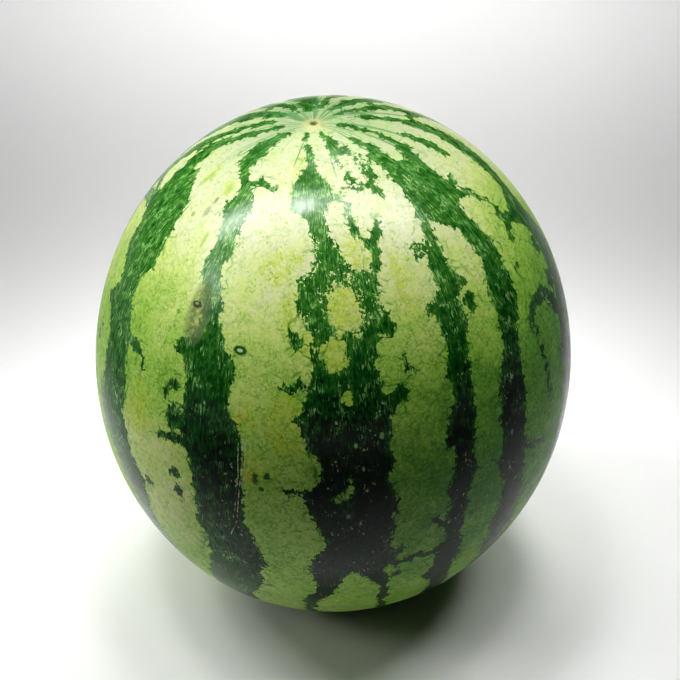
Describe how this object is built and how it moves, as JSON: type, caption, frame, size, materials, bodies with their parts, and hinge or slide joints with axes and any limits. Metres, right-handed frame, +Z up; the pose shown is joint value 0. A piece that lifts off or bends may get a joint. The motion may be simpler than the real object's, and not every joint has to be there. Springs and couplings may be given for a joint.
{
  "type": "watermelon",
  "caption": "Whole round-oval striped watermelon that stands on the small flat spot at its stem end, with its blossom scar on top.",
  "frame": {"origin": "centre of the flat spot that the fruit rests on, on the ground plane", "axes": "+Z up along the body's long axis, from the stem end to the blossom end; -Y towards the front; the growth axis between the two scars leans 3.8 degrees from +Z towards -X"},
  "size_m": [0.2229, 0.2249, 0.2466],
  "materials": {
    "rind": "satin"
  },
  "bodies": {
    "root": {"watermelon": "rind"}
  },
  "joints": []
}
